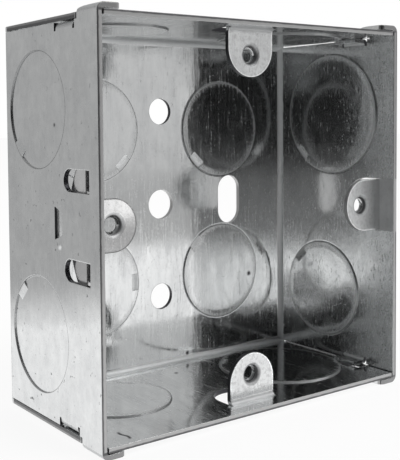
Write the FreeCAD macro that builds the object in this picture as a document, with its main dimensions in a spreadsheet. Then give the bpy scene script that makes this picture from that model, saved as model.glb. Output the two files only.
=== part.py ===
import FreeCAD, Part
import Sketcher
import math
import os

# One-gang flush back box: a folded sheet-steel shell with one sliding lug.
# X points right, Y from the open front to the back, Z up.
# The origin is the centre of the back panel's outer face, so the open front is at Y = -depth.
# "from the front" below is measured along Y from the open edge.
SIZES = [
    # The folded shell
    ("side", 72.0, "outside width and height of the square box"),
    ("depth", 35.0, "outside depth of the box"),
    ("sheet", 0.9, "thickness of the steel sheet"),
    ("bend", 1.2, "inner radius of the four back bends"),
    ("seam", 0.15, "open gap between a side wall's edge and the roof or floor"),
    # Ears: the side walls' corners, folded over the outside of the roof and floor
    ("ear_length", 6.5, "ear size along the depth"),
    ("ear_reach", 4.7, "ear size from the outer face of the side wall"),
    ("ear_gap", 0.2, "air between an ear and the wall that it covers"),
    ("ear_bend", 0.45, "inner radius of the ear's fold"),
    ("ear_corner", 1.2, "rounding of the ear's free corners"),
    ("ear_relief", 0.35, "how far the roof and floor stop short of an ear's riser"),
    ("ear_dip", 0.5, "how far the fold is lower at an ear's rear end"),
    ("ear_taper", 2.7, "length along the depth over which the fold gets lower"),
    # Clamp tabs: folded inward under the roof and floor, behind the ears
    ("notch_start", 7.3, "front end of the side wall's notch, from the front"),
    ("notch_length", 6.95, "length of the notch"),
    ("notch_drop", 1.45, "depth of the notch below the side wall's edge"),
    ("tab_start", 7.9, "front end of the tab, from the front"),
    ("tab_length", 5.8, "tab size along the depth"),
    ("tab_reach", 4.0, "tab size from the outer face of the side wall"),
    ("tab_gap", 0.1, "air between a tab and the wall above it"),
    ("tab_bend", 0.4, "inner radius of the tab's fold"),
    # Arches: the roof's and floor's edge strips, pressed outward over the tabs
    ("arch_rise", 0.3, "how far an arch stands off the outer face"),
    ("arch_hollow", 0.45, "how far its underside is raised off the tab"),
    ("arch_width", 4.2, "width of the arched strip"),
    ("arch_end", 12.0, "rear end of the arch, from the front"),
    ("arch_run", 2.2, "length of the slope up to the arch's flat"),
    # Fixed lugs: tongues bent inward from the roof, right wall and floor
    ("lug_inset", 5.85, "screw centre of a lug, from the outer face of its wall"),
    ("lug_width", 10.7, "width of a fixed lug"),
    ("lug_reach", 9.95, "tip of a fixed lug from the outer face of its wall"),
    ("lug_depth", 4.5, "front face of a fixed lug, from the front"),
    ("lug_bend", 1.0, "inner radius of a fixed lug's bend"),
    ("lug_shear", 0.1, "side gap left by the punch round a lug's opening"),
    ("opening_end", 12.9, "rounded end of the opening behind a lug, from the front"),
    # Screw holes in the lugs: drawn collar, dished mouth
    ("screw_hole", 3.0, "bore for the M3.5 thread"),
    ("collar_wall", 0.75, "wall of the drawn collar round the bore"),
    ("collar_height", 0.9, "how far the collar stands off the lug's rear face"),
    ("mouth_radius", 0.9, "rounding of the bore's mouth"),
    # Knockouts: half-sheared discs, set inward, each held by one sloping tie
    ("knock_small", 21.0, "diameter of a 20 mm conduit knockout"),
    ("knock_large", 26.0, "diameter of a 25 mm conduit knockout"),
    ("knock_step", 0.25, "how far a knockout is set inward"),
    ("tie_width", 3.5, "width of a knockout's tie"),
    ("tie_seat", 0.3, "level part of a tie, inward from the knockout's rim"),
    ("tie_run", 1.5, "length of the tie's slope"),
    ("back_knock_x", 16.5, "back knockouts, across from the centre"),
    ("back_knock_z", 16.1, "back knockouts, up and down from the centre"),
    ("wall_knock", 15.8, "small wall knockouts, from the box's nearest outer corner"),
    ("left_knock_depth", 21.3, "left wall knockouts, from the front"),
    ("right_knock_depth", 20.2, "small right wall knockout, from the front"),
    ("roof_knock_depth", 20.6, "small roof and floor knockouts, from the front"),
    ("large_knock", 16.9, "large right wall knockout, down from the roof"),
    ("large_knock_depth", 17.6, "large right wall knockout, from the front"),
    ("roof_large", 15.8, "large roof and floor knockouts, from the right wall"),
    ("roof_large_depth", 18.6, "large roof and floor knockouts, from the front"),
    # Fixing holes in the back panel
    ("fix_hole", 5.6, "outer fixing holes"),
    ("fix_pitch", 20.0, "outer fixing holes, up and down from the centre"),
    ("centre_hole", 6.3, "centre fixing hole"),
    ("slot_offset", 19.0, "fixing slots, across from the centre"),
    ("slot_width", 6.2, "width of a fixing slot"),
    ("slot_height", 10.9, "height of a fixing slot, over its round ends"),
    # Guide for the adjustable lug, pressed in the left wall
    ("guide_rise", 0.5, "height of the guide's middle above the box's centre"),
    ("hook_inner", 5.7, "near side of a hook's window, from the guide's middle"),
    ("hook_width", 3.9, "width of a hook's window"),
    ("hook_start", 3.1, "root of a hook, at the front of its window, from the front"),
    ("hook_end", 10.4, "half-round tip of a hook, from the front"),
    ("hook_ramp", 1.0, "run of the slope at a hook's root"),
    ("hook_lead", 0.5, "how far the slope's inner side runs ahead of its outer side"),
    ("hook_slit", 0.1, "slit between a hook and its window"),
    ("hook_sheet", 0.75, "sheet thickness left in a hook after pressing"),
    ("window_end", 11.6, "half-round rear end of a hook's window, from the front"),
    ("stop_start", 12.2, "front end of the pressed stop, from the front"),
    ("stop_end", 14.3, "lip of the stop, from the front"),
    ("stop_slit", 0.7, "open slit behind the stop's lip"),
    ("stop_narrow", 3.7, "height of the stop at its front end"),
    ("stop_wide", 5.8, "height of the stop at its lip"),
    ("stop_set", 1.3, "how far the stop's lip is pressed inward"),
    # The adjustable lug, a separate sheet piece
    ("slider_sheet", 0.9, "thickness of the adjustable lug"),
    ("slider_play", 0.1, "air between the sliding plate and the wall or hooks"),
    ("slider_width", 9.2, "width of the adjustable lug's ear"),
    ("slider_depth", 5.1, "front face of the adjustable lug, from the front"),
    ("slider_bend", 0.5, "inner radius of the adjustable lug's bend"),
    ("plate_height", 23.0, "height of the sliding plate over its arms"),
    ("plate_front", 5.8, "front edge of the plate's arms, from the front"),
    ("plate_rear", 11.8, "rearmost point of the plate's curved edge, from the front"),
    ("arm_end", 1.8, "length of a plate arm's outer end, along the depth"),
]

doc = FreeCAD.newDocument("flush_back_box")
dim = doc.addObject("Spreadsheet::Sheet", "Dim")
for row, (alias, value, meaning) in enumerate(SIZES, start=1):
    dim.set("A%d" % row, str(value))
    dim.setAlias("A%d" % row, alias)
    dim.set("B%d" % row, meaning)
doc.recompute()

# Places that many features share, as expressions over the sheet
OUTER = "(Dim.side / 2)"
INNER = "(Dim.side / 2 - Dim.sheet)"
EDGE = "(Dim.side / 2 - Dim.sheet - Dim.seam)"
FRONT = "(-Dim.depth)"
LUG_SCREW = "(Dim.side / 2 - Dim.lug_inset)"
SIGNS = (-1, 1)


def size(expression):
    """The present value of an expression over the sheet, in millimetres."""
    result = dim.evalExpression(expression)
    return float(getattr(result, "Value", result))


def from_front(distance):
    """Y of a point that lies a distance behind the open edge."""
    return "(%s + %s)" % (FRONT, distance)


def plane(body, role):
    """The origin plane or axis of a body, such as XZ_Plane."""
    for feature in body.Origin.OriginFeatures:
        if feature.Role == role:
            return feature
    raise ValueError("no " + role)


def new_sketch(body, name, role, height="0", shift_y="0"):
    """A sketch parallel to an origin plane of its body.

    XY_Plane draws (X, Y) and faces +Z, YZ_Plane draws (Y, Z) and faces +X,
    XZ_Plane draws (X, Z) and faces -Y. The height is measured along that normal.
    """
    sketch = body.newObject("Sketcher::SketchObject", name)
    sketch.AttachmentSupport = [(plane(body, role), "")]
    sketch.MapMode = "FlatFace"
    sketch.setExpression("AttachmentOffset.Base.z", height)
    sketch.setExpression("AttachmentOffset.Base.y", shift_y)
    return sketch


def constrain(sketch, kind, *items):
    """Add a sized constraint whose last item is an expression."""
    index = sketch.addConstraint(Sketcher.Constraint(kind, *items[:-1], size(items[-1])))
    sketch.setExpression("Constraints[%d]" % index, items[-1])


def circle(sketch, x, y, diameter):
    """A full circle, sized and placed by expressions."""
    centre = FreeCAD.Vector(size(x), size(y), 0)
    edge = sketch.addGeometry(Part.Circle(centre, FreeCAD.Vector(0, 0, 1), size(diameter) / 2))
    constrain(sketch, "Diameter", edge, diameter)
    constrain(sketch, "DistanceX", -1, 1, edge, 3, x)
    constrain(sketch, "DistanceY", -1, 1, edge, 3, y)


def arc_between(start, end, radius, turn):
    """The short arc from start to end, and which of its ends is the start.

    A turn of 1 runs anticlockwise from start to end, and -1 clockwise.
    """
    chord = end - start
    side = FreeCAD.Vector(-chord.y, chord.x, 0) / chord.Length
    rise = math.sqrt(max(radius ** 2 - (chord.Length / 2) ** 2, 0))
    centre = (start + end) / 2 + side * rise * turn
    first, last = (start, end) if turn > 0 else (end, start)
    angles = [math.atan2(point.y - centre.y, point.x - centre.x) for point in (first, last)]
    ring = Part.Circle(centre, FreeCAD.Vector(0, 0, 1), radius)
    return Part.ArcOfCircle(ring, angles[0], angles[1]), turn > 0


def outline(sketch, corners, arcs=None):
    """A closed profile through corners given as (x, y) expressions.

    arcs maps the number of a side to (radius expression, turn): that side,
    which starts at the corner of the same number, is an arc.
    """
    arcs = arcs or {}
    points = [FreeCAD.Vector(size(x), size(y), 0) for x, y in corners]
    sides = []
    for number, start in enumerate(points):
        end = points[(number + 1) % len(points)]
        if number in arcs:
            radius, turn = arcs[number]
            curve, forward = arc_between(start, end, size(radius), turn)
            edge = sketch.addGeometry(curve)
            constrain(sketch, "Radius", edge, radius)
            sides.append((edge, 1, 2) if forward else (edge, 2, 1))
        else:
            sides.append((sketch.addGeometry(Part.LineSegment(start, end)), 1, 2))
    for number, (edge, first, _) in enumerate(sides):
        before, _, last = sides[number - 1]
        sketch.addConstraint(Sketcher.Constraint("Coincident", before, last, edge, first))
        constrain(sketch, "DistanceX", -1, 1, edge, first, corners[number][0])
        constrain(sketch, "DistanceY", -1, 1, edge, first, corners[number][1])


def rectangle(sketch, x0, x1, y0, y1):
    """A rectangle between four expressions."""
    outline(sketch, [(x0, y0), (x1, y0), (x1, y1), (x0, y1)])


def extrude(body, kind, name, sketch, length, backward, middle):
    """A pad or pocket that is known to change the solid.

    A pad grows along the sketch's normal and a pocket cuts against it,
    unless backward is set. With middle set, half of it lies on either side.
    """
    before = body.Shape.Volume if not body.Shape.isNull() else 0.0
    feature = body.newObject("PartDesign::" + kind, name)
    feature.Profile = sketch
    feature.setExpression("Length", length)
    feature.Reversed = backward
    feature.Midplane = middle
    body.Tip = feature
    doc.recompute()
    check_change(body, feature, before)
    return feature


def check_change(body, feature, before):
    """Stop where a feature has failed or left the solid as it was."""
    if "Invalid" in feature.State or "Error" in feature.State or feature.Shape.isNull():
        raise RuntimeError(feature.Name + " failed")
    if abs(body.Shape.Volume - before) < 1e-6:
        raise RuntimeError(feature.Name + " changed nothing")


def pad(body, name, sketch, length, backward=False, middle=False):
    return extrude(body, "Pad", name, sketch, length, backward, middle)


def pocket(body, name, sketch, length, backward=False, middle=False):
    return extrude(body, "Pocket", name, sketch, length, backward, middle)


def fillet(body, name, radius, wanted):
    """Round the edges of the body's tip that the test named wanted accepts."""
    tip = body.Tip
    names = ["Edge%d" % (n + 1) for n, edge in enumerate(tip.Shape.Edges) if wanted(edge)]
    if not names:
        raise RuntimeError(name + " found no edge")
    before = body.Shape.Volume
    feature = body.newObject("PartDesign::Fillet", name)
    feature.Base = (tip, names)
    feature.setExpression("Radius", radius)
    body.Tip = feature
    doc.recompute()
    check_change(body, feature, before)
    return feature


def spread(edge, axis):
    """The lowest and highest coordinate of an edge along an axis."""
    box = edge.BoundBox
    low = (box.XMin, box.YMin, box.ZMin)["XYZ".index(axis)]
    high = (box.XMax, box.YMax, box.ZMax)["XYZ".index(axis)]
    return low, high


def lies_at(edge, axis, value):
    """True where the whole edge lies at one coordinate."""
    low, high = spread(edge, axis)
    return abs(low - value) < 1e-4 and abs(high - value) < 1e-4


def band(sketch, corner, leg_end, arm_end, radius, thick, flip_x, flip_y):
    """The section of a strip folded by 90 degrees, drawn in a sketch.

    corner is the outer corner (x, y) that the fold rounds off, for the
    quadrant where both are positive. The leg runs down from it to
    y = leg_end, and the arm runs inward to x = arm_end.
    """
    x, y = corner
    rows = [
        (x, leg_end),
        (x, "(%s - %s - %s)" % (y, radius, thick)),
        ("(%s - %s - %s)" % (x, radius, thick), y),
        (arm_end, y),
        (arm_end, "(%s - %s)" % (y, thick)),
        ("(%s - %s - %s)" % (x, radius, thick), "(%s - %s)" % (y, thick)),
        ("(%s - %s)" % (x, thick), "(%s - %s - %s)" % (y, radius, thick)),
        ("(%s - %s)" % (x, thick), leg_end),
    ]
    turn = flip_x * flip_y
    corners = [("%d * %s" % (flip_x, a), "%d * %s" % (flip_y, b)) for a, b in rows]
    outline(sketch, corners, {1: ("%s + %s" % (radius, thick), turn), 5: (radius, -turn)})


def tongue(sketch, half_width, root, tip, inward):
    """A strip with a half-round end, centred on the sketch's Y axis.

    The tip is the end of the curve, and inward is 1 where it lies above the root.
    """
    shoulder = "(%s - %d * %s)" % (tip, inward, half_width)
    corners = [
        ("-" + half_width, root),
        (half_width, root),
        (half_width, shoulder),
        ("0", tip),
        ("-" + half_width, shoulder),
    ]
    outline(sketch, corners, {2: (half_width, inward), 3: (half_width, inward)})


def make_tray(body):
    """Back panel and four walls, with rounded back bends and open corner seams."""
    sketch = new_sketch(body, "BlockOutline", "XZ_Plane")
    rectangle(sketch, "-" + OUTER, OUTER, "-" + OUTER, OUTER)
    pad(body, "Block", sketch, "Dim.depth")
    fillet(body, "OuterBends", "Dim.bend + Dim.sheet", lambda edge: lies_at(edge, "Y", 0))

    sketch = new_sketch(body, "HollowOutline", "XZ_Plane", "Dim.depth")
    rectangle(sketch, "-" + INNER, INNER, "-" + INNER, INNER)
    pocket(body, "Hollow", sketch, "Dim.depth - Dim.sheet")
    floor = -size("Dim.sheet")
    fillet(body, "InnerBends", "Dim.bend", lambda edge: lies_at(edge, "Y", floor))

    sketch = new_sketch(body, "SeamOutline", "XZ_Plane", "Dim.depth")
    for sx in SIGNS:
        for sz in SIGNS:
            rectangle(sketch, "%d * %s" % (sx, INNER), "%d * %s" % (sx, OUTER),
                      "%d * %s" % (sz, EDGE), "%d * %s" % (sz, INNER))
    pocket(body, "CornerSeams", sketch, "Dim.depth")


def make_ears(body):
    """Corner ears of the side walls, folded over the roof and floor."""
    for sz, name in ((1, "Roof"), (-1, "Floor")):
        sketch = new_sketch(body, name + "ReliefOutline", "XY_Plane", "%d * %s" % (sz, OUTER))
        inside = "(%s - Dim.ear_relief)" % INNER
        for sx in SIGNS:
            rectangle(sketch, "%d * %s" % (sx, inside), "%d * %s" % (sx, OUTER), FRONT,
                      from_front("Dim.ear_length + Dim.ear_relief"))
        pocket(body, name + "Relief", sketch, "Dim.sheet", backward=sz < 0)

    sketch = new_sketch(body, "EarSection", "XZ_Plane", "Dim.depth")
    top = "(%s + Dim.ear_gap + Dim.sheet)" % OUTER
    end = "(%s - Dim.ear_reach)" % OUTER
    for sx in SIGNS:
        for sz in SIGNS:
            band(sketch, (OUTER, top), EDGE, end, "Dim.ear_bend", "Dim.sheet", sx, sz)
    pad(body, "Ears", sketch, "Dim.ear_length", backward=True)
    reach = size(end)
    height = size(OUTER)

    def free_corner(edge):
        low, high = spread(edge, "Z")
        outside = min(abs(low), abs(high)) > height
        return outside and high - low > 0.1 and any(lies_at(edge, "X", s * reach) for s in SIGNS)

    fillet(body, "EarCorners", "Dim.ear_corner", free_corner)

    sketch = new_sketch(body, "EarDipOutline", "YZ_Plane", "-" + OUTER)
    rear = from_front("Dim.ear_length")
    radius = "((Dim.ear_taper ^ 2 + Dim.ear_dip ^ 2) / (2 * Dim.ear_dip))"
    for sz in SIGNS:
        corners = [
            (from_front("(Dim.ear_length - Dim.ear_taper)"), "%d * %s" % (sz, top)),
            (rear, "%d * (%s - Dim.ear_dip)" % (sz, top)),
            (rear, "%d * %s" % (sz, top)),
        ]
        outline(sketch, corners, {0: (radius, -sz)})
    pocket(body, "EarDips", sketch, "Dim.side", backward=True)


def make_clamp_tabs(body):
    """Notches in the side walls, with the tabs that are folded in under roof and floor."""
    leg_end = "(%s - Dim.notch_drop)" % EDGE
    sketch = new_sketch(body, "NotchOutline", "XZ_Plane", "Dim.depth - Dim.notch_start")
    for sx in SIGNS:
        for sz in SIGNS:
            rectangle(sketch, "%d * %s" % (sx, INNER), "%d * %s" % (sx, OUTER),
                      "%d * %s" % (sz, leg_end), "%d * %s" % (sz, INNER))
    pocket(body, "Notches", sketch, "Dim.notch_length")

    sketch = new_sketch(body, "TabSection", "XZ_Plane", "Dim.depth - Dim.tab_start")
    top = "(%s - Dim.tab_gap)" % INNER
    for sx in SIGNS:
        for sz in SIGNS:
            band(sketch, (OUTER, top), leg_end, "(%s - Dim.tab_reach)" % OUTER,
                 "Dim.tab_bend", "Dim.sheet", sx, sz)
    pad(body, "ClampTabs", sketch, "Dim.tab_length", backward=True)


def make_arches(body):
    """Edge strips of the roof and floor, pressed outward over the clamp tabs."""
    start, end = "(Dim.ear_length + Dim.ear_relief)", "Dim.arch_end"
    for sz, wall in ((1, "Roof"), (-1, "Floor")):
        for sx, side in ((-1, "Left"), (1, "Right")):
            name = wall + side + "Arch"
            sketch = new_sketch(body, name + "Section", "YZ_Plane", "%d * %s" % (sx, EDGE))
            arch(sketch, start, end, sz, OUTER, "Dim.arch_rise")
            pad(body, name, sketch, "Dim.arch_width", backward=sx > 0)
            sketch = new_sketch(body, name + "HollowSection", "YZ_Plane", "%d * %s" % (sx, EDGE))
            arch(sketch, start, end, sz, INNER, "Dim.arch_hollow")
            pocket(body, name + "Hollow", sketch, "Dim.arch_width", backward=sx < 0)


def arch(sketch, start, end, sz, base, rise):
    """The side view of an arch: a slope up from the rear, a flat and a short slope down."""
    rows = [
        (from_front(start), base),
        (from_front(end), base),
        (from_front("(%s - Dim.arch_run)" % end), "(%s + %s)" % (base, rise)),
        (from_front("(%s + %s)" % (start, rise)), "(%s + %s)" % (base, rise)),
    ]
    outline(sketch, [(y, "%d * %s" % (sz, z)) for y, z in rows])


def make_fixed_lugs(body):
    """The roof's lug with its opening and screw hole, repeated on the right wall and floor."""
    half = "(Dim.lug_width / 2)"
    shoulder = "(%s - Dim.lug_bend - Dim.sheet)" % OUTER
    start = "(Dim.lug_depth - Dim.lug_bend)"

    sketch = new_sketch(body, "LugOpeningOutline", "XY_Plane", OUTER)
    tongue(sketch, "(Dim.lug_width / 2 + Dim.lug_shear)", from_front(start), from_front("Dim.opening_end"), 1)
    opening = pocket(body, "LugOpening", sketch, "Dim.sheet")

    sketch = new_sketch(body, "LugBendSection", "YZ_Plane", "-" + half)
    outer_bend = "(Dim.lug_bend + Dim.sheet)"
    corners = [
        (from_front(start), OUTER),
        (from_front("(Dim.lug_depth + Dim.sheet)"), "(%s - %s)" % (OUTER, outer_bend)),
        (from_front("Dim.lug_depth"), "(%s - %s)" % (OUTER, outer_bend)),
        (from_front(start), INNER),
    ]
    outline(sketch, corners, {0: (outer_bend, -1), 2: ("Dim.lug_bend", 1)})
    bend = pad(body, "LugBend", sketch, "Dim.lug_width")

    sketch = new_sketch(body, "LugOutline", "XZ_Plane", "Dim.depth - Dim.lug_depth")
    tongue(sketch, half, shoulder, "(%s - Dim.lug_reach)" % OUTER, -1)
    plate = pad(body, "Lug", sketch, "Dim.sheet", backward=True)

    collar = add_collar(body, "Lug", "0", LUG_SCREW, "Dim.lug_depth + Dim.sheet")
    bore = cut_screw_hole(body, "Lug", "0", LUG_SCREW, "Dim.lug_depth", "Dim.sheet")

    before = body.Shape.Volume
    pattern = body.newObject("PartDesign::PolarPattern", "FixedLugs")
    pattern.Originals = [opening, bend, plate, collar, bore]
    pattern.Axis = (plane(body, "Y_Axis"), [""])
    pattern.Angle = 180
    pattern.Occurrences = 3
    body.Tip = pattern
    doc.recompute()
    check_change(body, pattern, before)


def add_collar(body, name, x, z, rear):
    """The collar drawn out behind a lug's screw hole."""
    sketch = new_sketch(body, name + "CollarOutline", "XZ_Plane", "Dim.depth - (%s)" % rear)
    circle(sketch, x, z, "(Dim.screw_hole + 2 * Dim.collar_wall)")
    return pad(body, name + "Collar", sketch, "Dim.collar_height", backward=True)


def cut_screw_hole(body, name, x, z, face, thick):
    """A screw hole with a dished mouth, turned about its own axis."""
    sketch = new_sketch(body, name + "BoreSection", "YZ_Plane", x, z)
    radius = "(Dim.screw_hole / 2)"
    rear = "(%s + %s + Dim.collar_height)" % (face, thick)
    corners = [
        (from_front(face), "0"),
        (from_front(face), "(%s + Dim.mouth_radius)" % radius),
        (from_front("(%s + Dim.mouth_radius)" % face), radius),
        (from_front(rear), radius),
        (from_front(rear), "0"),
    ]
    outline(sketch, corners, {1: ("Dim.mouth_radius", 1)})
    before = body.Shape.Volume
    groove = body.newObject("PartDesign::Groove", name + "Bore")
    groove.Profile = sketch
    groove.ReferenceAxis = (sketch, ["H_Axis"])
    groove.Angle = 360
    body.Tip = groove
    doc.recompute()
    check_change(body, groove, before)
    return groove


def press_knockouts(body, name, role, outer, inner, inward, discs):
    """Half-sheared discs of one wall, given as (x, y, diameter, tie angle) in its plane.

    inward is 1 where the box's inside lies along the plane's normal. The tie
    angle runs from the row axis that the plane draws to the right.
    """
    sketch = new_sketch(body, name + "SunkOutline", role, outer)
    for x, y, diameter, _ in discs:
        circle(sketch, x, y, diameter)
    pocket(body, name + "Sunk", sketch, "Dim.knock_step", backward=inward > 0)

    sketch = new_sketch(body, name + "RaisedOutline", role, inner)
    for x, y, diameter, _ in discs:
        circle(sketch, x, y, diameter)
    pad(body, name + "Raised", sketch, "Dim.knock_step", backward=inward < 0)

    for number, (x, y, diameter, angle) in enumerate(discs, start=1):
        radius = "(%s / 2)" % diameter
        seat, rim = "(%s - Dim.tie_seat)" % radius, "(%s + Dim.tie_seat)" % radius
        for kind, level, build in (("Fill", outer, pad), ("Cut", inner, pocket)):
            title = "%sTie%s%d" % (name, kind, number)
            sketch = radial_sketch(body, title + "Section", role, x, y, angle)
            sunk = "(%s + %d * Dim.knock_step)" % (level, inward)
            corners = [("(%s - Dim.tie_run)" % seat, sunk), (seat, level), (rim, level), (rim, sunk)]
            if role == "XZ_Plane":
                corners = [(along, "-" + across) for along, across in corners]
            if role == "YZ_Plane":
                corners = [(across, along) for along, across in corners]
            outline(sketch, corners)
            build(body, title, sketch, "Dim.tie_width", middle=True)


def radial_sketch(body, name, role, x, y, angle):
    """A sketch square to a wall, through a point of it and along an angle in it.

    Back panel, roof and floor draw (radius, wall axis), the side walls (wall axis, radius).
    """
    base_role, axis, turn, base = {
        "XZ_Plane": ("XY_Plane", (0, 1, 0), -angle, (x, "0", y)),
        "YZ_Plane": ("XY_Plane", (1, 0, 0), angle, ("0", x, y)),
        "XY_Plane": ("XZ_Plane", (0, 1, 0), angle, (x, "0", "-" + y)),
    }[role]
    sketch = body.newObject("Sketcher::SketchObject", name)
    sketch.AttachmentSupport = [(plane(body, base_role), "")]
    sketch.MapMode = "FlatFace"
    turned = FreeCAD.Rotation(FreeCAD.Vector(*axis), turn)
    sketch.AttachmentOffset = FreeCAD.Placement(FreeCAD.Vector(), turned)
    for letter, value in zip("xyz", base):
        sketch.setExpression("AttachmentOffset.Base." + letter, value)
    return sketch


def make_knockouts(body):
    """Four knockouts in the back and two in each wall."""
    small, large = "Dim.knock_small", "Dim.knock_large"
    corner = "(%s - Dim.wall_knock)" % OUTER
    back = [("%d * Dim.back_knock_x" % sx, "%d * Dim.back_knock_z" % sz, small, angle)
            for sx, sz, angle in ((-1, 1, -45), (-1, -1, 0), (1, 1, 225), (1, -1, 135))]
    press_knockouts(body, "BackKnockouts", "XZ_Plane", "0", "Dim.sheet", 1, back)

    left = [(from_front("Dim.left_knock_depth"), "%d * %s" % (sz, corner), small, -45 * sz) for sz in SIGNS]
    press_knockouts(body, "LeftKnockouts", "YZ_Plane", "-" + OUTER, "-" + INNER, 1, left)

    right = [
        (from_front("Dim.large_knock_depth"), "(%s - Dim.large_knock)" % OUTER, large, -45),
        (from_front("Dim.right_knock_depth"), "-" + corner, small, 45),
    ]
    press_knockouts(body, "RightKnockouts", "YZ_Plane", OUTER, INNER, -1, right)

    roof = [
        ("-" + corner, from_front("Dim.roof_knock_depth"), small, 45),
        ("(%s - Dim.roof_large)" % OUTER, from_front("Dim.roof_large_depth"), large, 135),
    ]
    press_knockouts(body, "RoofKnockouts", "XY_Plane", OUTER, INNER, -1, roof)
    press_knockouts(body, "FloorKnockouts", "XY_Plane", "-" + OUTER, "-" + INNER, 1, roof)


def make_fixing_holes(body):
    """Round holes and two slots through the back panel."""
    sketch = new_sketch(body, "FixingOutline", "XZ_Plane")
    circle(sketch, "0", "0", "Dim.centre_hole")
    for sz in SIGNS:
        circle(sketch, "0", "%d * Dim.fix_pitch" % sz, "Dim.fix_hole")
    half = "(Dim.slot_width / 2)"
    straight = "(Dim.slot_height / 2 - Dim.slot_width / 2)"
    for sx in SIGNS:
        middle = "%d * Dim.slot_offset" % sx
        right, left = "(%s + %s)" % (middle, half), "(%s - %s)" % (middle, half)
        corners = [
            (right, "-" + straight),
            (right, straight),
            (middle, "Dim.slot_height / 2"),
            (left, straight),
            (left, "-" + straight),
            (middle, "-Dim.slot_height / 2"),
        ]
        outline(sketch, corners, {side: (half, 1) for side in (1, 2, 4, 5)})
    pocket(body, "FixingHoles", sketch, "Dim.sheet", backward=True)


def make_guide(body):
    """Two hooks and a stop, pressed inward from the left wall for the adjustable lug."""
    outer = "-" + OUTER
    face = "(%s + Dim.sheet + Dim.slider_sheet + 2 * Dim.slider_play)" % outer
    start = from_front("Dim.hook_start")
    ramp_end = "(%s + Dim.hook_ramp)" % start
    for sz, name in ((1, "Upper"), (-1, "Lower")):
        middle = "(Dim.guide_rise + %d * (Dim.hook_inner + Dim.hook_width / 2))" % sz
        half = "(Dim.hook_width / 2)"
        sketch = new_sketch(body, name + "WindowOutline", "YZ_Plane", outer)
        round_ended(sketch, start, from_front("Dim.window_end"), middle, half)
        pocket(body, name + "Window", sketch, "Dim.sheet", backward=True)

        half = "(Dim.hook_width / 2 - Dim.hook_slit)"
        sketch = new_sketch(body, name + "HookRampSection", "XY_Plane", "(%s - %s)" % (middle, half))
        corners = [
            (outer, start),
            (face, ramp_end),
            ("(%s + Dim.hook_sheet)" % face, ramp_end),
            ("(%s + Dim.hook_sheet)" % face, "(%s - Dim.hook_lead)" % ramp_end),
            ("-" + INNER, "(%s - Dim.hook_lead)" % start),
        ]
        outline(sketch, corners)
        pad(body, name + "HookRamp", sketch, "2 * " + half)

        sketch = new_sketch(body, name + "HookOutline", "YZ_Plane", face)
        round_ended(sketch, ramp_end, from_front("Dim.hook_end"), middle, half)
        pad(body, name + "Hook", sketch, "Dim.hook_sheet")
    make_stop(body, outer)


def round_ended(sketch, front, rear, middle, half):
    """A strip along the depth, straight in front and half round behind."""
    shoulder = "(%s - %s)" % (rear, half)
    low, high = "(%s - %s)" % (middle, half), "(%s + %s)" % (middle, half)
    corners = [(front, low), (shoulder, low), (rear, middle), (shoulder, high), (front, high)]
    outline(sketch, corners, {1: (half, 1), 2: (half, 1)})


def make_stop(body, outer):
    """A louvre behind the sliding plate, with its lip towards the back."""
    start, lip = from_front("Dim.stop_start"), from_front("Dim.stop_end")
    slit = from_front("(Dim.stop_end + Dim.stop_slit)")
    narrow, wide = "(Dim.stop_narrow / 2)", "(Dim.stop_wide / 2)"
    sketch = new_sketch(body, "StopWindowOutline", "YZ_Plane", outer)
    corners = [
        (start, "(Dim.guide_rise - %s)" % narrow), (slit, "(Dim.guide_rise - %s)" % wide),
        (slit, "(Dim.guide_rise + %s)" % wide), (start, "(Dim.guide_rise + %s)" % narrow),
    ]
    outline(sketch, corners)
    pocket(body, "StopWindow", sketch, "Dim.sheet", backward=True)

    sections = []
    for name, along, half, set_in in (
        ("StopRoot", "Dim.stop_start", narrow, "0"),
        ("StopLip", "Dim.stop_end", wide, "Dim.stop_set"),
    ):
        sketch = new_sketch(body, name + "Section", "XZ_Plane", "Dim.depth - " + along)
        face = "(%s + %s)" % (outer, set_in)
        rectangle(sketch, face, "(%s + Dim.sheet)" % face,
                  "(Dim.guide_rise - %s)" % half, "(Dim.guide_rise + %s)" % half)
        sections.append(sketch)
    before = body.Shape.Volume
    loft = body.newObject("PartDesign::AdditiveLoft", "Stop")
    loft.Profile = sections[0]
    loft.Sections = [sections[1]]
    loft.Ruled = True
    body.Tip = loft
    doc.recompute()
    check_change(body, loft, before)


def make_box_shell():
    """The folded sheet, all in one piece."""
    body = doc.addObject("PartDesign::Body", "BoxShell")
    body.Label = "box_shell"
    make_tray(body)
    make_guide(body)
    make_fixed_lugs(body)
    make_knockouts(body)
    make_fixing_holes(body)
    make_ears(body)
    make_clamp_tabs(body)
    make_arches(body)
    return body


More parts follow.
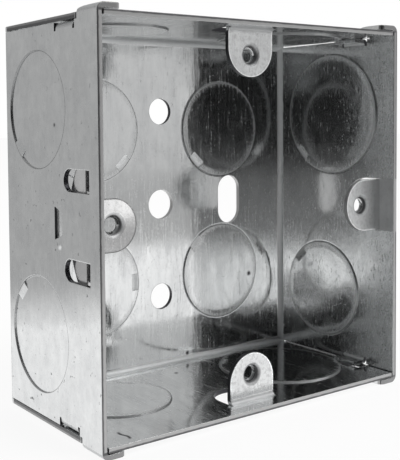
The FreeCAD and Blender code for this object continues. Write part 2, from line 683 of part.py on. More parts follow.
def make_adjustable_lug():
    """The sliding lug: a plate under the hooks with an ear bent inward from its front."""
    body = doc.addObject("PartDesign::Body", "AdjustableLug")
    body.Label = "adjustable_lug"
    wall = "(-%s + Dim.slider_play)" % INNER
    half = "(Dim.plate_height / 2)"
    arm_rear = "(Dim.plate_front + Dim.arm_end)"
    sweep = "(Dim.plate_rear - Dim.plate_front - Dim.arm_end)"
    curve = "((%s ^ 2 + %s ^ 2) / (2 * %s))" % (half, sweep, sweep)
    ear_half = "(Dim.slider_width / 2)"
    bend = "(Dim.slider_bend + Dim.slider_sheet)"

    sketch = new_sketch(body, "PlateOutline", "YZ_Plane", wall)
    rise = "Dim.guide_rise"
    shoulder = from_front("(Dim.slider_depth + %s)" % bend)
    corners = [
        (shoulder, "(%s - %s)" % (rise, ear_half)),
        (from_front("Dim.plate_front"), "(%s - %s - Dim.slider_bend)" % (rise, ear_half)),
        (from_front("Dim.plate_front"), "(%s - %s)" % (rise, half)),
        (from_front(arm_rear), "(%s - %s)" % (rise, half)),
        (from_front("Dim.plate_rear"), rise),
        (from_front(arm_rear), "(%s + %s)" % (rise, half)),
        (from_front("Dim.plate_front"), "(%s + %s)" % (rise, half)),
        (from_front("Dim.plate_front"), "(%s + %s + Dim.slider_bend)" % (rise, ear_half)),
        (shoulder, "(%s + %s)" % (rise, ear_half)),
    ]
    outline(sketch, corners, {3: (curve, 1), 4: (curve, 1)})
    pad(body, "Plate", sketch, "Dim.slider_sheet")

    sketch = new_sketch(body, "EarBendSection", "XY_Plane", "(%s - %s)" % (rise, ear_half))
    face = from_front("Dim.slider_depth")
    corners = [
        (wall, shoulder),
        ("(%s + %s)" % (wall, bend), face),
        ("(%s + %s)" % (wall, bend), "(%s + Dim.slider_sheet)" % face),
        ("(%s + Dim.slider_sheet)" % wall, shoulder),
    ]
    outline(sketch, corners, {0: (bend, 1), 2: ("Dim.slider_bend", -1)})
    pad(body, "EarBend", sketch, "Dim.slider_width")

    sketch = new_sketch(body, "EarOutline", "XZ_Plane", "Dim.depth - Dim.slider_depth")
    root = "(%s + %s)" % (wall, bend)
    centre = "-" + LUG_SCREW
    low, high = "(%s - %s)" % (rise, ear_half), "(%s + %s)" % (rise, ear_half)
    corners = [
        (root, low), (centre, low), ("(%s + %s)" % (centre, ear_half), rise), (centre, high), (root, high),
    ]
    outline(sketch, corners, {1: (ear_half, 1), 2: (ear_half, 1)})
    pad(body, "Ear", sketch, "Dim.slider_sheet", backward=True)

    rear = "Dim.slider_depth + Dim.slider_sheet"
    add_collar(body, "Ear", centre, rise, rear)
    cut_screw_hole(body, "Ear", centre, rise, "Dim.slider_depth", "Dim.slider_sheet")
    return body


pieces = [make_box_shell(), make_adjustable_lug()]
doc.recompute()

for item in doc.Objects:
    if "Invalid" in item.State or "Error" in item.State:
        raise RuntimeError(item.Name + " failed")
for piece in pieces:
    shape = piece.Shape
    if shape.isNull() or not shape.isValid() or len(shape.Solids) != 1:
        raise RuntimeError(piece.Label + " is not one valid solid")

os.makedirs("parts", exist_ok=True)
for piece in pieces:
    piece.Shape.exportStep("parts/%s.step" % piece.Label)
    print(piece.Label, "%.1f mm3" % piece.Shape.Volume)
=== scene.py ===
import math

import bpy
from mathutils import Matrix, Vector


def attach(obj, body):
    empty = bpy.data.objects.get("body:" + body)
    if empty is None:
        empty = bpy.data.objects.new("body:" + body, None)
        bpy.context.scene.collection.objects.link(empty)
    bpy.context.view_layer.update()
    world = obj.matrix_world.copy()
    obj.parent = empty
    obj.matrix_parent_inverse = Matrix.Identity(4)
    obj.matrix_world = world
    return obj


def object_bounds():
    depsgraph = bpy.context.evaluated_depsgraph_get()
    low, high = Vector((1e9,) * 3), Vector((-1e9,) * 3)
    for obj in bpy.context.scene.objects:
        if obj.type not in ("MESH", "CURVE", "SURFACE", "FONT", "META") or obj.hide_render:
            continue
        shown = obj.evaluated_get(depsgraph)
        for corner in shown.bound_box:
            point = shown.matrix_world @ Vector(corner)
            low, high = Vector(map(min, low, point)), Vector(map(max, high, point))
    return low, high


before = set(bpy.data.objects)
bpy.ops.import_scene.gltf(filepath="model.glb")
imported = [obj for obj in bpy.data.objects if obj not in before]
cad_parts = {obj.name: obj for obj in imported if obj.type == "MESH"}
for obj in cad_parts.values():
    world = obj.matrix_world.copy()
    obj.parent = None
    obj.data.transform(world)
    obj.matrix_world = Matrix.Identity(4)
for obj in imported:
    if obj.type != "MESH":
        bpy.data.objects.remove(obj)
cad_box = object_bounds()

# Looks of the flush back box: galvanised sheet, a plated lug, screw threads,
# a plain white studio and a camera at the photograph's angle.
# Lengths are in millimetres, masks run from 0 to 1 and colours are linear.
MM = 0.001
HALF = round(cad_box[1][0] / MM, 2)
FRONT = round(cad_box[0][1] / MM, 2)
TABLE = cad_box[0][2] / MM

# The shell's sheet and its bends. A mask reaches past its face by the margin.
SHEET = 0.9
BEND = 1.2 + SHEET
INNER = HALF - SHEET
MARGIN = 0.1
WITHIN = INNER - MARGIN
LEFT_SKIN = 0.5 - HALF
BACK_SKIN = -1.5
EDGE_ON = 0.2

# The fixed lugs.
LUG_FRONT = FRONT + 4.5
LUG_SCREW = 30.15
FIXED_SCREWS = ((0, LUG_SCREW), (LUG_SCREW, 0), (0, -LUG_SCREW))
LUG_HALF_WIDTH = 5.5
LUG_ROOT = HALF - 1.4
RIGHT_LUG_TIP = 22.0
LUG_DEPTH = LUG_FRONT + 1.2
LIP_DEPTH = LUG_FRONT + 1.5
BORE = 1.5

# The sliding lug and the pressed guide in the left wall.
SLIDER_FRONT = LUG_FRONT + 0.6
GUIDE_RISE = 0.5
GUIDE_HALF_HEIGHT = 14.0
STOP_BULGES = ((-HALF, -21.7, 4.2), (-HALF, -21.5, -3.0))
BULGE_RADIUS, BULGE_HEIGHT = 1.3, 0.22

# Centres and radii of the knockouts.
SMALL_RADIUS, LARGE_RADIUS = 10.5, 13.0
BACK_X, BACK_Z = 16.5, 16.1
LEFT_Y, LEFT_Z = FRONT + 21.3, 20.2
RIGHT_LOW_Y, RIGHT_LOW_Z = FRONT + 20.2, -20.2
RIGHT_HIGH_Y, RIGHT_HIGH_Z = FRONT + 17.6, 19.1
LEVEL_SMALL_X, LEVEL_SMALL_Y = -20.2, FRONT + 20.6
LEVEL_LARGE_X, LEVEL_LARGE_Y = 20.2, FRONT + 18.6

# The right wall's worn strip fades in between these places.
WORN_START, WORN_FULL = FRONT + 8.0, FRONT + 4.0

# The scuff on the floor, and the dark specks with their radii.
SCUFF_X, SCUFF_Y = -29.55, -31.5
SPECKS = (((24.8, -SHEET, -17.7), 0.75), ((-HALF, -19.9, 17.5), 0.55), ((-1.2, -7.7, -INNER), 0.6),
          ((6.9, -SHEET, -33.6), 0.6), ((-13.4, -SHEET, 26.0), 0.3), ((-20.1, -SHEET, 8.4), 0.4))

# Base colours. The names say what shows them.
BENT_ZINC = (0.62, 0.63, 0.635, 1)
GRAINED_ZINC = (0.58, 0.58, 0.585, 1)
# Painted highlight for the right lug's sheared edges.
PAINTED_HIGHLIGHT_EDGE = (0.55, 0.55, 0.555, 1)
# Painted shade for the sliding lug's lower half.
PAINTED_SHADE_PLATING = (0.55, 0.55, 0.555, 1)
SHEARED_EDGE = (0.5, 0.5, 0.5, 1)
WORN_ZINC = (0.35, 0.35, 0.36, 1)
# Painted shade for the folds at the lugs' roots.
PAINTED_SHADE_FOLD = (0.30, 0.30, 0.305, 1)
GRIME = (0.10, 0.10, 0.105, 1)
# The dark torn zone of sheared edges, also used as painted shade on the inner sheared edges and the screw
# holes' lips.
TORN_EDGE_AND_SHADE = (0.06, 0.06, 0.065, 1)
# Painted shadow along the sliding lug's edges.
PAINTED_SHADOW_OUTLINE = (0.06, 0.06, 0.06, 1)
WHITE = (1, 1, 1, 1)
TABLE_WHITE = (0.95, 0.95, 0.95, 1)


# Camera

PICTURE_WIDTH, PICTURE_HEIGHT = 400, 460
FOCAL_PIXELS = 863.8
CENTRE_COLUMN, CENTRE_ROW = 167.62, 163.07
EYE = (-107.09, -152.84, 18.21)
YAW, PITCH, ROLL = (math.radians(angle) for angle in (35.664, -2.865, -0.518))


def make_camera():
    """The photograph's eye point, direction and framing."""
    ahead = Vector((math.sin(YAW) * math.cos(PITCH), math.cos(YAW) * math.cos(PITCH), math.sin(PITCH)))
    level = Vector((math.cos(YAW), -math.sin(YAW), 0))
    upward = level.cross(ahead)
    right = level * math.cos(ROLL) + upward * math.sin(ROLL)
    up = upward * math.cos(ROLL) - level * math.sin(ROLL)
    data = bpy.data.cameras.new("camera")
    data.lens = FOCAL_PIXELS / PICTURE_HEIGHT * data.sensor_width
    data.shift_x = (PICTURE_WIDTH / 2 - CENTRE_COLUMN) / PICTURE_HEIGHT
    data.shift_y = (CENTRE_ROW - PICTURE_HEIGHT / 2) / PICTURE_HEIGHT
    data.clip_start, data.clip_end = 0.01, 20
    camera = bpy.data.objects.new("camera", data)
    turn = Matrix((right, up, -ahead)).transposed()
    camera.matrix_world = Matrix.Translation(Vector(EYE) * MM) @ turn.to_4x4()
    bpy.context.collection.objects.link(camera)
    bpy.context.scene.camera = camera


# Node helper

class Graph:
    """Short calls that build the nodes of a material or the world."""

    def __init__(self, owner):
        owner.use_nodes = True
        self.tree = owner.node_tree
        self.tree.nodes.clear()

    def node(self, kind, inputs=None, **settings):
        made = self.tree.nodes.new(kind)
        for key, value in settings.items():
            setattr(made, key, value)
        for key, value in (inputs or {}).items():
            self.feed(made.inputs[key], value)
        return made

    def feed(self, socket, value):
        if isinstance(value, bpy.types.NodeSocket):
            self.tree.links.new(value, socket)
        else:
            socket.default_value = value

    def math(self, operation, *values):
        made = self.node("ShaderNodeMath", operation=operation)
        for number, value in enumerate(values):
            self.feed(made.inputs[number], value)
        return made.outputs[0]

    def chain(self, operation, values):
        result = values[0]
        for value in values[1:]:
            result = self.math(operation, result, value)
        return result

    def add(self, *values):
        return self.chain("ADD", values)

    def times(self, *values):
        return self.chain("MULTIPLY", values)

    def either(self, *values):
        return self.chain("MAXIMUM", values)

    def size(self, value):
        return self.math("ABSOLUTE", value)

    def above(self, value, limit):
        return self.math("GREATER_THAN", value, limit)

    def below(self, value, limit):
        return self.math("LESS_THAN", value, limit)

    def remap(self, value, low, high, new_low=0.0, new_high=1.0, smooth=False):
        kind = "SMOOTHSTEP" if smooth else "LINEAR"
        made = self.node("ShaderNodeMapRange", interpolation_type=kind, clamp=True)
        limits = (("From Min", low), ("From Max", high), ("To Min", new_low), ("To Max", new_high))
        for key, number in limits:
            made.inputs[key].default_value = number
        self.feed(made.inputs["Value"], value)
        return made.outputs["Result"]

    def near(self, value, core, fade):
        """1 where a value is within core of 0, falling to 0 at fade."""
        return self.remap(self.size(value), core, fade, 1.0, 0.0)

    def mixed(self, kind, places, result, values):
        """A mix of two values, by the places of its factor, its first and its second input."""
        made = self.node("ShaderNodeMix", data_type=kind)
        for place, value in zip(places, values):
            self.feed(made.inputs[place], value)
        return made.outputs[result]

    def choose(self, factor, first, second):
        """first where the factor is 0 and second where it is 1."""
        return self.mixed("FLOAT", (0, 2, 3), 0, (factor, first, second))

    def choose_vector(self, factor, first, second):
        return self.mixed("VECTOR", (0, 4, 5), 1, (factor, first, second))

    def blend(self, factor, first, second):
        """The same for colours."""
        return self.mixed("RGBA", (0, 6, 7), 2, (factor, first, second))

    def vector(self, x, y, z):
        return self.node("ShaderNodeCombineXYZ", {"X": x, "Y": y, "Z": z}).outputs[0]

    def parts(self, vector):
        made = self.node("ShaderNodeSeparateXYZ", {"Vector": vector})
        return made.outputs[0], made.outputs[1], made.outputs[2]

    def combine(self, operation, first, *second):
        """A vector operation. Its number comes out of Value and its vector out of Vector."""
        inputs = dict(enumerate((first, *second)))
        return self.node("ShaderNodeVectorMath", inputs, operation=operation).outputs

    def distance(self, place, spot):
        return self.combine("DISTANCE", place, spot)["Value"]

    def noise(self, vector, scale, detail=2.0, roughness=0.5):
        made = self.node("ShaderNodeTexNoise", {"Scale": scale, "Detail": detail, "Roughness": roughness})
        self.feed(made.inputs["Vector"], vector)
        return made.outputs[0]

    def rounded(self, radius):
        """The normal of edges that are rounded by a radius in metres."""
        return self.node("ShaderNodeBevel", {"Radius": radius}, samples=6).outputs[0]

    def close(self, surface, kind="ShaderNodeOutputMaterial"):
        output = self.node(kind)
        self.feed(output.inputs["Surface"], surface.outputs[0])


def seen_directly(graph):
    """1 for rays that show the background: from the camera, a mirror or glass."""
    path = graph.node("ShaderNodeLightPath")
    return graph.either(path.outputs["Is Camera Ray"], path.outputs["Is Glossy Ray"],
                        path.outputs["Is Transmission Ray"])


# Metal

class Metal:
    """A metal whose layers change its colour, roughness and height one after another."""

    def __init__(self, name):
        self.material = bpy.data.materials.new(name)
        self.graph = graph = Graph(self.material)
        metres = graph.node("ShaderNodeTexCoord").outputs["Object"]
        self.spot = graph.combine("MULTIPLY", metres, (1 / MM, 1 / MM, 1 / MM))["Vector"]
        self.direction = graph.node("ShaderNodeNewGeometry").outputs["True Normal"]
        self.place = graph.parts(self.spot)
        self.facing = graph.parts(self.direction)
        self.sizes = [graph.size(value) for value in self.place]
        self.turns = [graph.size(value) for value in self.facing]

    def tint(self, factor, colour):
        self.colour = self.graph.blend(factor, self.colour, colour)

    def roughen(self, amount):
        self.rough = self.graph.add(self.rough, amount)

    def set_rough(self, factor, rough):
        self.rough = self.graph.choose(factor, self.rough, rough)

    def lift(self, *amounts):
        self.height = self.graph.add(self.height, *amounts)

    def bumped(self):
        """The normal with rounded edges and the height on top."""
        graph = self.graph
        window = graph.times(graph.below(self.place[0], -WITHIN),
                             graph.below(self.sizes[2], GUIDE_HALF_HEIGHT))
        wide = graph.either(window, graph.below(self.place[1], LUG_DEPTH))
        edges = graph.rounded(graph.choose(wide, 0.16 * MM, 0.30 * MM))
        inputs = {"Strength": 1.0, "Distance": MM, "Height": self.height, "Normal": edges}
        return graph.node("ShaderNodeBump", inputs).outputs[0]

    def finish(self, normal):
        inputs = {"Metallic": 1.0, "Normal": normal, "Base Color": self.colour, "Roughness": self.rough}
        self.graph.close(self.graph.node("ShaderNodeBsdfPrincipled", inputs))
        return self.material


def rolling(metal):
    """(across, along) the sheet's rolling direction, as it runs over the folded faces.

    The strip was rolled along the back panel's height, so the streaks stand
    upright on the back and side walls and run from front to back on the others.
    """
    graph = metal.graph
    x, y, z = metal.place
    on_side = graph.above(metal.turns[0], 0.7)
    on_level = graph.above(metal.turns[2], 0.7)
    along = graph.times(graph.choose(on_level, z, y), graph.choose(on_side, 1.0, 3.0))
    return graph.choose(on_side, x, y), along


def roll_sheet(metal, base, dull, roughness, streak):
    """Rolling streaks of a given height, smudges, specks, scratches and duller bends."""
    graph = metal.graph
    across, along = rolling(metal)

    def streaks(stretch, layer, **settings):
        return graph.noise(graph.vector(across, graph.times(along, stretch), layer), **settings)

    fine = streaks(0.06, 0.0, scale=2.2, detail=4.0, roughness=0.65)
    broad = streaks(0.08, 7.0, scale=0.45, detail=3.0)
    smudge = streaks(0.3, 3.0, scale=0.55, detail=5.0, roughness=0.62)
    cloud = graph.noise(metal.spot, scale=0.11, detail=4.0, roughness=0.6)
    speck = graph.noise(metal.spot, scale=1.9, detail=3.0, roughness=0.6)
    dent = graph.noise(metal.spot, scale=0.05, detail=1.0, roughness=0.4)
    path = graph.noise(metal.spot, scale=0.16, detail=1.0, roughness=0.3)
    scratch = graph.times(graph.near(graph.add(path, -0.5), 0.002, 0.006), graph.remap(speck, 0.5, 0.62))
    smear = graph.add(graph.times(fine, 0.22), graph.times(broad, 0.2), graph.times(smudge, 0.33),
                      graph.times(cloud, 0.25))

    metal.colour = graph.blend(graph.remap(smear, 0.40, 0.60), dull, base)
    metal.rough = graph.add(graph.remap(smear, 0.40, 0.60, roughness + 0.07, roughness - 0.03),
                            graph.remap(speck, 0.50, 0.75, 0.0, 0.12), graph.times(scratch, 0.12),
                            graph.remap(fine, 0.52, 0.66, 0.0, 0.18))
    metal.height = graph.add(graph.times(fine, streak * 0.6), graph.times(broad, streak * 1.6),
                             graph.times(dent, 0.12), graph.times(smudge, streak * 1.2),
                             graph.times(scratch, -0.004))
    bend = graph.remap(graph.either(*metal.turns), 0.992, 0.97)
    metal.set_rough(bend, 0.55)
    metal.tint(graph.times(bend, 0.5), BENT_ZINC)


def ring(graph, across, along, radius):
    """Distance outside a circle, negative inside it."""
    square = graph.add(graph.times(across, across), graph.times(along, along))
    return graph.add(graph.math("SQRT", square), -radius)


def rim_distance(metal):
    """Distance from the nearest knockout rim of the wall that a point lies in."""
    graph = metal.graph
    x, y, z = metal.place
    size_x, _, size_z = metal.sizes
    back = ring(graph, graph.add(size_x, -BACK_X), graph.add(size_z, -BACK_Z), SMALL_RADIUS)
    left = ring(graph, graph.add(y, -LEFT_Y), graph.add(size_z, -LEFT_Z), SMALL_RADIUS)
    right_low = ring(graph, graph.add(y, -RIGHT_LOW_Y), graph.add(z, -RIGHT_LOW_Z), SMALL_RADIUS)
    right_high = ring(graph, graph.add(y, -RIGHT_HIGH_Y), graph.add(z, -RIGHT_HIGH_Z), LARGE_RADIUS)
    level_small = ring(graph, graph.add(x, -LEVEL_SMALL_X), graph.add(y, -LEVEL_SMALL_Y), SMALL_RADIUS)
    level_large = ring(graph, graph.add(x, -LEVEL_LARGE_X), graph.add(y, -LEVEL_LARGE_Y), LARGE_RADIUS)
    at_right = graph.above(x, 0.0)
    side = graph.choose(at_right, left, graph.choose(graph.above(z, 0.0), right_low, right_high))
    level = graph.choose(at_right, level_small, level_large)
    wall = graph.choose(graph.above(size_z, INNER - 0.7), side, level)
    return graph.choose(graph.above(y, BACK_SKIN), wall, back)


def press_knockouts(metal, rim, crack):
    """Rolled rims with a crack, and a disc at the upper right of the back panel that leans."""
    graph = metal.graph
    x, y, z = metal.place
    roll = graph.times(graph.remap(rim, -1.5, 0.0, smooth=True), graph.remap(rim, 0.0, 0.4, 1.0, 0.0),
                       graph.above(x, LEFT_SKIN))
    leaning = graph.times(graph.below(rim, 0.0), graph.above(y, BACK_SKIN), graph.above(x, 0.0),
                          graph.above(z, 0.0))
    metal.lift(graph.times(roll, -0.02), graph.times(crack, -0.02))
    metal.lift(graph.times(leaning, graph.add(x, -BACK_X), -0.045))
    metal.roughen(graph.times(roll, 0.20))


def press_stop(metal):
    """Bulges at both ends of the sliding lug's stop."""
    graph = metal.graph
    for spot in STOP_BULGES:
        bulge = graph.remap(graph.distance(metal.spot, spot), 0.0, BULGE_RADIUS, 1.0, 0.0, smooth=True)
        metal.lift(graph.times(bulge, BULGE_HEIGHT))


def dirt(metal, crack):
    """1 on the scuff, the dark specks and the left wall's pits, and less in the knockouts' cracks."""
    graph = metal.graph
    x, y, z = metal.place
    wave = graph.times(graph.math("SINE", graph.times(y, 1.6)), 0.25)
    scuff = graph.times(graph.near(graph.add(x, -SCUFF_X, wave), 0.12, 0.42),
                        graph.near(graph.add(y, -SCUFF_Y), 1.5, 2.2), graph.below(z, 1.1 - INNER))
    specks = [graph.remap(graph.distance(metal.spot, spot), radius * 0.4, radius, 1.0, 0.0)
              for spot, radius in SPECKS]
    pits = graph.times(graph.remap(graph.noise(metal.spot, 0.9, 2.0, 0.6), 0.68, 0.74),
                       graph.below(x, LEFT_SKIN), graph.remap(z, 26.0, -30.0, 0.25, 0.8))
    return graph.either(graph.times(crack, 0.5), scuff, *specks, pits)


def sheared_faces(metal):
    """1 on the sheared edges of the shell's sheet, where no zinc shines."""
    graph = metal.graph
    y = metal.place[1]
    size_x, _, size_z = metal.sizes
    turn_x, turn_y, turn_z = metal.turns
    before_bend = graph.below(y, -BEND - MARGIN)
    side = graph.times(graph.above(size_x, WITHIN), graph.below(turn_x, EDGE_ON), before_bend,
                       graph.either(graph.below(size_z, INNER - MARGIN / 2), graph.above(turn_y, 0.8)))
    level = graph.times(graph.above(size_z, WITHIN), graph.below(size_z, HALF + MARGIN / 2),
                        graph.below(turn_z, EDGE_ON), before_bend,
                        graph.either(graph.below(size_x, WITHIN), graph.above(y, FRONT + 7.0)))
    flat = HALF - BEND - MARGIN
    back = graph.times(graph.above(y, -SHEET - MARGIN / 2), graph.below(turn_y, EDGE_ON),
                       graph.below(size_x, flat), graph.below(size_z, flat))
    ear = graph.times(graph.above(size_z, HALF + MARGIN), graph.below(turn_z, EDGE_ON),
                      graph.below(turn_x, 0.95))
    lug = graph.times(graph.above(y, LUG_FRONT - MARGIN), graph.below(y, LUG_FRONT + SHEET + MARGIN),
                      graph.below(turn_y, EDGE_ON),
                      graph.below(graph.either(size_x, size_z), LUG_ROOT - MARGIN))
    return graph.either(side, level, back, ear, lug)


def sheared_colour(metal):
    """A dark line along the outer side of the open front's edge, and a torn band elsewhere; inner sheared
    edges away from mid-height are painted fully dark as painted shade.
    """
    graph = metal.graph
    size_x, _, size_z = metal.sizes
    wobble = graph.noise(metal.spot, 0.9, 2.0)
    sideways = graph.above(metal.turns[0], 0.8)
    reach = graph.choose(sideways, graph.either(size_x, size_z), size_z)
    outside = graph.add(HALF + MARGIN, graph.times(reach, -1.0), graph.times(wobble, -0.2))
    depth = graph.times(outside, 1 / SHEET)
    band = graph.times(graph.remap(depth, 0.25, 0.60, 0.4, 1.0, smooth=True), graph.remap(depth, 1.1, 1.0))
    torn = graph.choose(sideways, graph.remap(depth, 0.50, 0.25, smooth=True), band)
    # Painted shade: inner sheared edges farther than the lug's half width from mid-height are fully dark;
    # near mid-height they are dark outside and lighter inside.
    inner_torn_and_shade = graph.either(graph.remap(depth, 0.70, 0.45), graph.above(size_z, LUG_HALF_WIDTH))
    outline = graph.either(graph.below(metal.place[1], FRONT + 0.3),
                           graph.times(graph.above(size_z, WITHIN), sideways))
    ear = graph.remap(size_z, HALF, HALF + 0.2, 0.8, 0.4)
    return graph.blend(graph.choose(outline, inner_torn_and_shade, graph.times(torn, ear)), SHEARED_EDGE, TORN_EDGE_AND_SHADE)


def wear_shell(metal, grime, cut):
    """Grime, sheared edges and the worn front strip of the right wall."""
    graph = metal.graph
    worn = graph.times(graph.above(metal.place[0], HALF - 2.0),
                       graph.remap(metal.place[1], WORN_START, WORN_FULL))
    metal.tint(grime, GRIME)
    metal.tint(cut, sheared_colour(metal))
    metal.tint(graph.times(worn, 0.3), WORN_ZINC)
    metal.roughen(graph.times(worn, 0.10))
    metal.set_rough(grime, 0.4)
    metal.set_rough(cut, 0.38)


def lug_faces(metal):
    """1 on the plates of the lugs, front and back."""
    graph = metal.graph
    return graph.times(graph.below(metal.place[1], LUG_DEPTH), graph.above(metal.turns[1], 0.5),
                       graph.below(graph.either(metal.sizes[0], metal.sizes[2]), LUG_ROOT))


def grain_lugs(metal, on_lug, tone, relief, roughness):
    """A dull grain on the lugs' plates."""
    graph = metal.graph
    grain = graph.noise(metal.spot, 1.5, 4.0, 0.65)
    metal.tint(graph.times(on_lug, graph.remap(grain, 0.48, 0.62), tone), GRAINED_ZINC)
    metal.lift(graph.times(on_lug, grain, relief))
    metal.roughen(graph.times(on_lug, graph.remap(grain, 0.4, 0.65, 0.0, roughness)))


def shade_hole_lip(metal, x, z):
    """Painted shade along the edge of a screw hole."""
    graph = metal.graph
    away = ring(graph, graph.add(metal.place[0], -x), graph.add(metal.place[2], -z), BORE + 0.12)
    shaded_lip = graph.times(graph.below(metal.place[1], LIP_DEPTH), graph.near(away, 0.05, 0.25))
    # Painted shade: a dark ring at the rim of the hole.
    metal.tint(graph.times(shaded_lip, 0.85), TORN_EDGE_AND_SHADE)


def near_edges(metal):
    """1 within about half a millimetre of an edge."""
    graph = metal.graph
    straight = graph.combine("DOT_PRODUCT", graph.rounded(0.5 * MM), metal.direction)["Value"]
    return graph.remap(straight, 0.995, 0.93)


def paint_lug_shade_and_highlight(metal, cut):
    """Painted shade on the folds at the roots of the lugs other than the right one, and a rougher right
    lug with a painted highlight on its sheared edges.
    """
    graph = metal.graph
    x, y, _ = metal.place
    turn_y = metal.turns[1]
    shaded_fold = graph.times(graph.below(y, LUG_DEPTH), graph.below(x, RIGHT_LUG_TIP),
                         graph.remap(turn_y, 0.05, 0.15), graph.remap(turn_y, 0.98, 0.9))
    right_lug = graph.times(graph.below(y, LUG_DEPTH), graph.above(x, RIGHT_LUG_TIP),
                            graph.below(metal.sizes[2], LUG_HALF_WIDTH))
    # Painted shade: the fold zones of the lugs, except the right lug, are darkened.
    metal.tint(graph.times(shaded_fold, 0.45), PAINTED_SHADE_FOLD)
    # Painted highlight: the right lug's sheared edges are lightened.
    metal.tint(graph.times(right_lug, cut), PAINTED_HIGHLIGHT_EDGE)
    metal.roughen(graph.times(right_lug, 0.30))


def tip_rims(metal, normal, rim, worn_rim):
    """The normal, turned outward in the left wall's knockout rims and to the table on worn lug rims."""
    graph = metal.graph
    crushed = graph.times(graph.below(graph.size(rim), 0.28), graph.below(metal.place[0], -INNER - MARGIN),
                          graph.below(metal.turns[0], 0.3))
    outward = graph.combine("ADD", metal.direction, (-0.5, -0.2, 0))["Vector"]
    normal = graph.choose_vector(crushed, normal, outward)
    normal = graph.choose_vector(worn_rim, normal, (-0.38, -0.78, -0.50))
    return graph.combine("NORMALIZE", normal)["Vector"]


def galvanised_sheet():
    """The shell: zinc-coated sheet with knockouts, sheared edges, wear and lugs, with painted shade on the
    lugs' folds, the screw holes' lips and the inner sheared edges, and a painted highlight on the right
    lug's sheared edges.
    """
    steel = Metal("galvanised_sheet")
    graph = steel.graph
    roll_sheet(steel, base=(0.845, 0.855, 0.855, 1), dull=(0.70, 0.71, 0.715, 1),
               roughness=0.08, streak=0.010)
    rim = rim_distance(steel)
    crack = graph.near(graph.add(rim, -0.03), 0.03, 0.15)
    press_knockouts(steel, rim, crack)
    press_stop(steel)
    cut = graph.times(sheared_faces(steel), graph.above(graph.size(rim), 0.3))
    wear_shell(steel, dirt(steel, crack), cut)

    on_lug = lug_faces(steel)
    grain_lugs(steel, on_lug, tone=0.6, relief=0.030, roughness=0.12)
    for x, z in FIXED_SCREWS:
        shade_hole_lip(steel, x, z)
    paint_lug_shade_and_highlight(steel, cut)
    worn_rim = graph.times(on_lug, near_edges(steel), graph.below(steel.facing[1], -0.5))
    steel.set_rough(worn_rim, 0.15)
    return steel.finish(tip_rims(steel, steel.bumped(), rim, worn_rim))


def plated_lug():
    """The sliding lug: bright plating, leaning a little at the top, with painted shade on its lower half
    and a painted shadow line along its outline.
    """
    plating = Metal("plated_lug")
    graph = plating.graph
    roll_sheet(plating, base=(0.93, 0.93, 0.93, 1), dull=(0.82, 0.82, 0.82, 1),
               roughness=0.11, streak=0.008)
    grain_lugs(plating, lug_faces(plating), tone=0.3, relief=0.010, roughness=0.05)
    shade_hole_lip(plating, -LUG_SCREW, GUIDE_RISE)
    height = plating.place[2]
    plating.lift(graph.times(graph.math("POWER", graph.remap(height, 0.0, 5.0), 2.0), 0.45))
    # Painted shade: the lug gets darker towards its bottom.
    plating.tint(graph.remap(height, 0.5, -1.0, 0.0, 0.5), PAINTED_SHADE_PLATING)
    # Painted shadow: a dark line within half a millimetre of the lug's edges.
    plating.tint(near_edges(plating), PAINTED_SHADOW_OUTLINE)
    return plating.finish(plating.bumped())


def dress(node, material):
    """Give a CAD node its material, in the object's own slots."""
    for slot in node.material_slots:
        slot.material = material
    if not node.material_slots:
        node.data.materials.append(material)


def make_mesh(name, points, faces, material):
    """An object made from points in millimetres."""
    mesh = bpy.data.meshes.new(name)
    mesh.from_pydata([tuple(value * MM for value in point) for point in points], [], faces)
    mesh.materials.append(material)
    mesh.update()
    made = bpy.data.objects.new(name, mesh)
    bpy.context.collection.objects.link(made)
    return made


# Screw threads

THREAD_START, THREAD_LENGTH = 1.1, 0.5
THREAD_PITCH, THREAD_DEPTH, THREAD_STEPS = 0.6, 0.22, 40
# Radius and shift along the bore of the ridge's four corners.
THREAD_SECTION = ((BORE + 0.02, -0.26), (BORE - THREAD_DEPTH, -0.05),
                  (BORE - THREAD_DEPTH, 0.05), (BORE + 0.02, 0.26))


def make_thread(name, x, front, z, body, material):
    """A thread's ridge, wound along the wall of a lug's screw hole."""
    corners = len(THREAD_SECTION)
    count = int(THREAD_LENGTH / THREAD_PITCH * THREAD_STEPS)
    points, faces = [], []
    for number in range(count + 1):
        angle = 2 * math.pi * number / THREAD_STEPS
        y = front + THREAD_PITCH * number / THREAD_STEPS
        for radius, shift in THREAD_SECTION:
            points.append((x + radius * math.cos(angle), y + shift, z + radius * math.sin(angle)))
    for number in range(count):
        first = number * corners
        for side in range(corners):
            following = (side + 1) % corners
            above = first + corners
            faces.append((first + side, first + following, above + following, above + side))
    faces.append(tuple(reversed(range(corners))))
    faces.append(tuple(count * corners + side for side in range(corners)))
    ridge = make_mesh(name, points, faces, material)
    for polygon in ridge.data.polygons:
        polygon.use_smooth = True
    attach(ridge, body)


# Studio

CARD_FOOT = -37.0
TABLE_HALF = 2500
# Corners of the cards, seen from above.
LEFT_POST, FRONT_POST, RIGHT_POST = (-667, -82), (152, -655), (1000, -300)
REAR_POST, FAR_POST = (-295, -56), (150, 168)


def make_plane(name, corners, material):
    """A flat piece of the studio."""
    plane = make_mesh(name, corners, [(0, 1, 2, 3)], material)
    return plane


def make_table():
    """A white table that keeps a soft shadow."""
    material = bpy.data.materials.new("floor_white")
    graph = Graph(material)
    diffuse = graph.node("ShaderNodeBsdfDiffuse", {"Color": TABLE_WHITE})
    glow = graph.node("ShaderNodeEmission", {"Color": WHITE, "Strength": 1.0})
    factor = graph.times(seen_directly(graph), 0.88)
    graph.close(graph.node("ShaderNodeMixShader", {0: factor, 1: diffuse.outputs[0], 2: glow.outputs[0]}))
    turns = ((-1, -1), (1, -1), (1, 1), (-1, 1))
    make_plane("floor", [(x * TABLE_HALF, y * TABLE_HALF, TABLE) for x, y in turns], material)


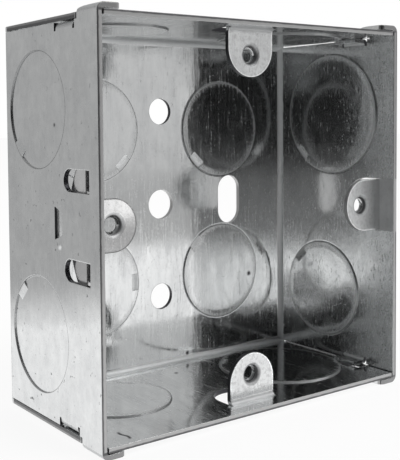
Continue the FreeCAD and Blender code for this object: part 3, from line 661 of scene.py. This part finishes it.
def upright(start, end, top):
    """The corners of a card that stands on the table between two points."""
    return [(*start, CARD_FOOT), (*end, CARD_FOOT), (*end, top), (*start, top)]


def lying(height, *points):
    """The corners of a mat that lies just above the table."""
    return [(*point, height) for point in points]


def make_card(name, grey, corners, foot=None, fade_top=None):
    """A studio card that only shows in the metal's reflections.

    With a foot, its grey runs from that value at the table to grey at the top of the fade.
    """
    material = bpy.data.materials.new(name)
    graph = Graph(material)
    glow = graph.node("ShaderNodeEmission", {"Color": WHITE, "Strength": grey})
    if foot is not None:
        height = graph.parts(graph.node("ShaderNodeTexCoord").outputs["Object"])[2]
        fade = graph.remap(height, CARD_FOOT * MM, fade_top * MM, foot, grey, smooth=True)
        graph.feed(glow.inputs["Strength"], fade)
    graph.close(glow)
    card = make_plane(name, corners, material)
    card.visible_camera = False
    card.visible_shadow = False
    card.visible_diffuse = False


def make_world():
    """White where it is seen, and a little dimmer as a light."""
    world = bpy.data.worlds.new("studio")
    bpy.context.scene.world = world
    graph = Graph(world)
    strength = graph.choose(seen_directly(graph), 0.75, 1.0)
    sky = graph.node("ShaderNodeBackground", {"Color": WHITE, "Strength": strength})
    graph.close(sky, "ShaderNodeOutputWorld")


def make_lamp(name, place, aim, side, power):
    """A square lamp of a given power in watts."""
    data = bpy.data.lights.new(name, "AREA")
    data.shape = "RECTANGLE"
    data.size, data.size_y = side * MM, side * MM
    data.energy = power
    lamp = bpy.data.objects.new(name, data)
    lamp.location = Vector(place) * MM
    direction = Vector(aim) * MM - lamp.location
    lamp.rotation_euler = direction.to_track_quat("-Z", "Y").to_euler()
    bpy.context.collection.objects.link(lamp)


bpy.context.scene.view_settings.view_transform = "Standard"
make_camera()
make_world()
make_table()
make_lamp("key", place=(300, -500, 700), aim=(0, 0, 0), side=500, power=3.0)
make_card("dark_card", 0.008, upright(LEFT_POST, FRONT_POST, 700), foot=0.20, fade_top=-5)
make_card("dark_mat", 0.19, lying(-36.5, (-200, -30), LEFT_POST, FRONT_POST, (40, -200)))
make_card("pale_card", 0.62, upright(FRONT_POST, RIGHT_POST, 650))
make_card("pale_mat", 0.46, lying(-36.4, (40, -200), FRONT_POST, (560, -480), (120, -150)))
make_card("grey_card", 0.44, upright(REAR_POST, FAR_POST, 260), foot=0.80, fade_top=-24)

steel = galvanised_sheet()
plated = plated_lug()
dress(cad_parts["box_shell"], steel)
dress(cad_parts["adjustable_lug"], plated)

for name, (x, z) in zip(("thread_roof", "thread_right", "thread_floor"), FIXED_SCREWS):
    make_thread(name, x, LUG_FRONT + THREAD_START, z, "box", steel)
make_thread("thread_slider", -LUG_SCREW, SLIDER_FRONT + THREAD_START, GUIDE_RISE, "lug", plated)
